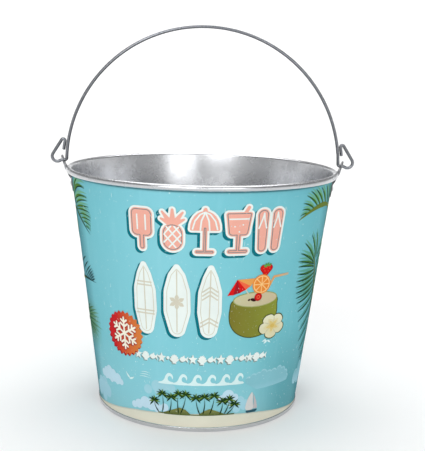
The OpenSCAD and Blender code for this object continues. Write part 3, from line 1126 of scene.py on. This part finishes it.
# Faint fan at the lower left
faint_tips = [(-64, 89), (-61, 87.6), (-58.4, 85.4), (-58.8, 81.6)]
faint_tips += [(-57.4, 77.4), (-56, 72.2), (-59, 67.6), (-62, 63.4)]
for k, tip in enumerate(faint_tips):
    leaf(faints, (-78.0 + 0.4 * k, 79.0 - 1.2 * k), tip, 0.8, 2.4, 0.4)
    leaf(greens, (-80.0 + 0.4 * k, 79.6 - 1.4 * k), (tip[0] - 6, tip[1]), 0.6, 1.8, 0.4)
leaf(stems, (-94, 62), (-72, 77), 1.6, 3.2, 0.3)

# Upper right frond, with its rib over the top of the picture
leaf(stems, (45, 170), (84, 168.8), 9.3, 4.4, 0.5, 20)
leaf(stems, (76, 174.4), (98, 157), 1, 4.4, 0.15)
for u, z, tip_u, tip_z, thick in (
    (52, 174.4, 45.8, 173.6, 1.3),
    (54, 175.6, 46.6, 178.4, 1.5),
    (56.4, 176.8, 46.8, 183.6, 1.6),
    (59.6, 177.8, 48.4, 189.6, 1.8),
    (62, 178.2, 51, 192.8, 1.9),
    (65.2, 178.6, 54.8, 193.6, 2),
    (69, 178.2, 60.2, 194, 2.3),
    (73.4, 176.4, 66.4, 194, 2.3),
    (77.6, 174, 72, 193.4, 2.3),
    (82, 171, 77.4, 192, 2.3),
):
    leaflet((u, z), (tip_u, tip_z), -1.3, thick)
for k in range(3):
    leaflet((79.0 + 3.8 * k, 172.0 - 2.0 * k), (76.0 + 4.6 * k, 157.0 - 3.0 * k), 1.6, 2)

# Large fan on the right: leaflets towards the front, then towards the side
leaf(stems, (89, 36), (64.4, 139), -2, 5.4, 0.5)
fan = [(67, 134, 58, 156), (68, 136, 63, 156.6), (66, 132, 52.4, 150.6), (66.4, 130, 50.2, 142.6)]
fan += [(67, 128.6, 49.2, 136), (67.4, 126.6, 50, 131.4), (68, 124, 49.6, 125.4), (68.6, 121, 49.8, 119.2)]
fan += [(69.2, 117.6, 50.2, 114.2), (70, 113.6, 51, 109.2), (71, 109.8, 51.8, 104.6), (72, 106, 53, 99.6)]
fan += [(73.4, 101, 55.2, 92), (75, 95.6, 57.4, 82.6), (76.6, 88.6, 60.6, 73.4), (78, 80.6, 61.6, 64)]
fan += [(79.6, 72, 64.6, 54.8), (81.4, 63, 68.4, 46)]
for u, z, tip_u, tip_z in fan:
    leaflet((u, z), (tip_u, tip_z), -1.0 if tip_z > 128 else 1, 2.2)
for k in range(12):
    z = 134.0 - 6.6 * k
    degrees = 68.4 + 1.15 * k
    leaflet((degrees, z), (degrees + 13, z + 15.0 - 1.3 * k), 1.4, 2.4)

decal("frond_pale", pales, 1, "frond_pale")
decal("frond_faint", faints, 1, "frond_faint")
decal("frond_dark", darks, 2, "frond_dark")
decal("frond_green", greens, 3, "frond")
decal("frond_ribs", stems, 4, "rib")

# Worn specks and short scratches in the print, but none in the coconut drink
dice = random.Random(29)
specks = []
for k in range(330):
    degrees = dice.uniform(-88, 88)
    z = dice.uniform(18, 192)
    size = dice.choice((0.16, 0.2, 0.26, 0.36))
    if 20 < degrees < 78 and 76 < z < 138:
        continue
    place = at(degrees, z)
    if k % 6 == 0:
        lean = dice.uniform(-0.5, 0.5)
        specks.append(blade(place, (place[0] + lean * 3, z + dice.uniform(1.5, 4)), 0, 0.32, 0.5, 3))
        continue
    turn = dice.uniform(0, 360)
    specks.append(oval(*place, size, size * dice.uniform(0.5, 1), turn, 6))
decal("specks", specks, 11, "speck")

# ---- ears and rivets

lip = polar(BEAD_R + EAR_T / 2 + EAR_CLEAR, -10)
EAR_PATH = [
    (wall_out(PLATE_Z) + EAR_T / 2 + GAP, PLATE_Z),
    (wall_out(PLATE_TOP - 4) + EAR_T / 2 + GAP, PLATE_TOP - 4),
    lip,
    (EYE_R, PIVOT_Z),
    (2 * EYE_R - lip[0], 2 * PIVOT_Z - lip[1]),
]


def ear_bend(z):
    """Radius of the middle of the ear's sheet at a height, before its bends are eased."""
    for (r0, z0), (r1, z1) in zip(EAR_PATH, EAR_PATH[1:]):
        if z <= z1:
            return r0 + (r1 - r0) * (z - z0) / (z1 - z0)
    return EAR_PATH[-1][0]


def ear_radius(z):
    return sum(ear_bend(z + 0.3 * k) for k in range(-4, 5)) / 9


def ear_mesh(name, sign):
    """Pressed ear with its eye, laid flat as (y, z) and then bent round the rim."""
    side = [(EAR_W / 2, PLATE_TOP), (EAR_W / 2 - EAR_SHOULDER, PLATE_TOP), (EYE_RING_R, PIVOT_Z - EAR_NECK)]
    top = [around(EYE_RING_R, degrees) for degrees in range(5, 176, 10)]
    ring = moved([(EYE_RING_R, 0.0), *top, (-EYE_RING_R, 0.0)], 0.0, PIVOT_Z)
    corners = [(-EAR_W / 2, PLATE_Z), (EAR_W / 2, PLATE_Z), *side, *ring, *((-y, z) for y, z in side[::-1])]
    radii = [CORNER_R, CORNER_R, CORNER_R, 4.0, 3.0] + [0.0] * len(ring) + [3.0, 4.0, CORNER_R]
    eye = oval(0.0, PIVOT_Z, EYE_HOLE_R, EYE_HOLE_R, count=36)
    cuts_z = [PLATE_Z + 0.6 * k for k in range(1, 50)]
    flat, faces = triangulate([rounded(corners, radii, 8), eye], range(-12, 13), cuts_z, odd=True)

    def place(y, z, far):
        r = ear_radius(z)
        slope = (ear_radius(z + 0.2) - ear_radius(z - 0.2)) / 0.4
        a = math.asin(y / r)
        n = Vector((1.0, -slope)).normalized()
        off = (far - 0.5) * EAR_T
        radius = r + n.x * off
        return (sign * radius * math.cos(a), sign * radius * math.sin(a), z + n.y * off)

    ear = make_object(name, *shell(flat, faces, place), [ear_metal], sharp=50.0)
    edge = ear.modifiers.new("edge", "BEVEL")
    edge.width = EAR_EDGE * MM
    edge.segments = 3
    edge.limit_method = "ANGLE"
    edge.angle_limit = math.radians(60)
    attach(ear, "bucket")
    return ear


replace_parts(ear_mesh("ear_right", 1), "right_ear")
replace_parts(ear_mesh("ear_left", -1), "left_ear")


def rivet_mesh(name, side, row):
    """Round-headed rivet square to the wall, with its tail set inside."""
    inner = -SHEET_T - GAP
    outer = 2 * GAP + EAR_T + 0.05
    dome = (HEAD_R**2 + HEAD_H**2) / (2 * HEAD_H)
    profile = [(0.0, inner - TAIL_H), (TAIL_R - 0.35, inner - TAIL_H), (TAIL_R - 0.08, inner - TAIL_H + 0.12)]
    profile += [(TAIL_R, inner - TAIL_H + 0.35), (TAIL_R, inner), (RIVET_R, inner), (RIVET_R, outer)]
    profile += [(HEAD_R - 0.05, outer), (HEAD_R, outer + 0.1)]
    start = math.asin(HEAD_R / dome) - 0.05
    for k in range(1, 9):
        a = start * (1 - k / 8)
        profile.append((dome * math.sin(a), outer + HEAD_H - dome + dome * math.cos(a)))
    azimuth = (0 if side > 0 else math.pi) + row * math.asin(RIVET_PITCH / 2 / wall_out(RIVET_Z))
    turn = Matrix.Rotation(azimuth, 4, "Z")
    turn = turn @ Matrix.Translation((wall_out(RIVET_Z), 0, RIVET_Z))
    turn = turn @ Matrix.Rotation(math.pi / 2 + WALL_TILT, 4, "Y")
    points = []
    for radius, height in profile:
        for k in range(RIVET_SIDES):
            points.append(turn @ Vector((*on_circle(radius, k, RIVET_SIDES), height)))
    faces = loft(len(profile), RIVET_SIDES, capped=False)
    rivet = make_object(name, points, faces, [rivet_metal], sharp=45.0)
    clean = bmesh.new()
    clean.from_mesh(rivet.data)
    bmesh.ops.remove_doubles(clean, verts=clean.verts, dist=1e-6)
    clean.to_mesh(rivet.data)
    clean.free()
    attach(rivet, "bucket")
    return rivet


for node, side, row in (
    ("left_front_rivet", -1, 1),
    ("left_rear_rivet", -1, -1),
    ("right_front_rivet", 1, -1),
    ("right_rear_rivet", 1, 1),
):
    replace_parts(rivet_mesh(node + "_head", side, row), node)

# ---- bail


def arc(centre, radius, start, stop, step):
    """Points along an arc in the XZ plane, each with its tangent; the angles are in degrees."""
    count = max(2, int(abs(stop - start) / step))
    sense = 1 if stop > start else -1
    out = []
    for k in range(count + 1):
        x, z = around(1.0, start + (stop - start) * k / count)
        out.append(((centre[0] + radius * x, centre[1] + radius * z), (-sense * z, sense * x)))
    return out


bend_z = PIVOT_Z + BEND_R
bend_x = math.sqrt((HOOP_R + BEND_R) ** 2 - (bend_z - HOOP_Z) ** 2)
bend_a = math.degrees(math.atan2(bend_z - HOOP_Z, bend_x))
drop = math.radians(DROP_A)
drop_c = (EYE_R + DROP_OUT, PIVOT_Z - DROP_R)
drop_end = (drop_c[0] + DROP_R * math.sin(drop), drop_c[1] + DROP_R * math.cos(drop))
hook_in = (drop_end[0] + DROP_RUN * math.cos(drop), drop_end[1] - DROP_RUN * math.sin(drop))
hook_c = (hook_in[0] + HOOK_R * math.sin(drop), hook_in[1] + HOOK_R * math.cos(drop))
tip_far = HOOP_R + 2 * WIRE_R + TIP_GAP + TIP_R
tip_z = PIVOT_Z + HOOK_H - TIP_R - WIRE_R
tip_a = math.degrees(math.asin((tip_z - HOOP_Z) / tip_far))
tip_c = (tip_far * math.cos(math.radians(tip_a)), tip_z)
hook_run = (tip_c[0] - hook_c[0], tip_c[1] - hook_c[1])
hook_len = math.hypot(*hook_run)
hook_lean = math.degrees(math.atan2(hook_run[1], hook_run[0]) + math.asin((HOOK_R - TIP_R) / hook_len))

# From the top of the hoop down the right side, through the eye and round the hook
hoop = arc((0.0, HOOP_Z), HOOP_R, 90.0, bend_a, 0.9)
bend = arc((bend_x, bend_z), BEND_R, 180.0 + bend_a, 270.0, 9.0)
dip = arc(drop_c, DROP_R, 90.0, 90.0 - DROP_A, 6.0)
hook = arc(hook_c, HOOK_R, -90.0 - DROP_A, hook_lean - 90.0, 6.0)
tip = arc(tip_c, TIP_R, hook_lean - 90.0, 180.0 + tip_a, 9.0)
tail_way = around(1.0, tip_a - 90)
tail_end = tuple(a + b * TAIL_L for a, b in zip(tip[-1][0], tail_way))
right = hoop + bend[1:] + dip + hook + tip + [(tail_end, tail_way)]
left = [((-x, z), (way_x, -way_z)) for (x, z), (way_x, way_z) in right[:0:-1]]
bail = bent_wire("bail_wire", left + right, WIRE_R, wire_metal)
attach(bail, "bail")
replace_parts(bail, "bail")

# ---- studio

paint = Paint("studio_floor")
patch = paint.spread(paint.noise(3.0, 3.0), 0.3, 0.7, 0.0, 1.0)
pale = paint.mix(patch, grey(0.90), grey(0.92))
floor_paint = paint.finish({"Base Color": pale, "Roughness": 0.9, "Specular IOR Level": 0.1})

FLOOR_R = 1500.0
SWEEP_R = 800.0
sweep = [(0.0, 0.0), (FLOOR_R, 0.0)]
for k in range(1, 13):
    a = math.radians(80 * k / 12)
    sweep.append((FLOOR_R + SWEEP_R * math.sin(a), SWEEP_R * (1 - math.cos(a))))
floor = revolve("studio_floor", sweep, [floor_paint], rings=96, axis=True)

world = bpy.data.worlds.new("studio_world")
bpy.context.scene.world = world
world.use_nodes = True
background = world.node_tree.nodes["Background"].inputs
background["Color"].default_value = grey(1.0)
background["Strength"].default_value = 0.32


def softbox(name, place, aim, size, power):
    light = bpy.data.lights.new(name, "AREA")
    light.shape = "RECTANGLE"
    light.size, light.size_y = size
    light.energy = power
    lamp = bpy.data.objects.new(name, light)
    lamp.location = place
    lamp.rotation_euler = (Vector(aim) - Vector(place)).to_track_quat("-Z", "Y").to_euler()
    lamp.visible_camera = False
    bpy.context.scene.collection.objects.link(lamp)


softbox("key", (-0.55, -1.7, 1.1), (0.0, 0.0, 0.12), (0.9, 0.9), 14.0)
softbox("fill", (0.65, -1.7, 0.8), (0.0, 0.0, 0.12), (0.9, 0.9), 6.6)
softbox("top", (0.0, 0.5, 2.0), (0.0, 0.3, 0.0), (2.2, 2.2), 30.0)
softbox("backdrop", (0.0, 1.0, 1.7), (0.0, 2.3, 0.3), (2.4, 0.6), 14.0)

# Camera: its place in metres, and its turns in radians
CAMERA_PLACE = (0.0, -0.7918, 0.297)
PITCH = 0.1824
YAW = 0.01224
ROLL = 0.02489
camera_data = bpy.data.cameras.new("camera")
camera_data.sensor_width = 36.0
camera_data.lens = 75.25
camera_data.clip_start = 0.01
camera_data.clip_end = 50.0
camera = bpy.data.objects.new("camera", camera_data)
bpy.context.scene.collection.objects.link(camera)
look = Vector((math.sin(YAW) * math.cos(PITCH), math.cos(YAW) * math.cos(PITCH), -math.sin(PITCH)))
level = Vector((math.cos(YAW), -math.sin(YAW), 0.0))
upright = level.cross(look)
cam_x = math.cos(ROLL) * level + math.sin(ROLL) * upright
cam_y = -math.sin(ROLL) * level + math.cos(ROLL) * upright
camera.matrix_world = Matrix.Translation(CAMERA_PLACE) @ Matrix((cam_x, cam_y, -look)).transposed().to_4x4()
bpy.context.scene.camera = camera
bpy.context.scene.view_settings.view_transform = "Standard"
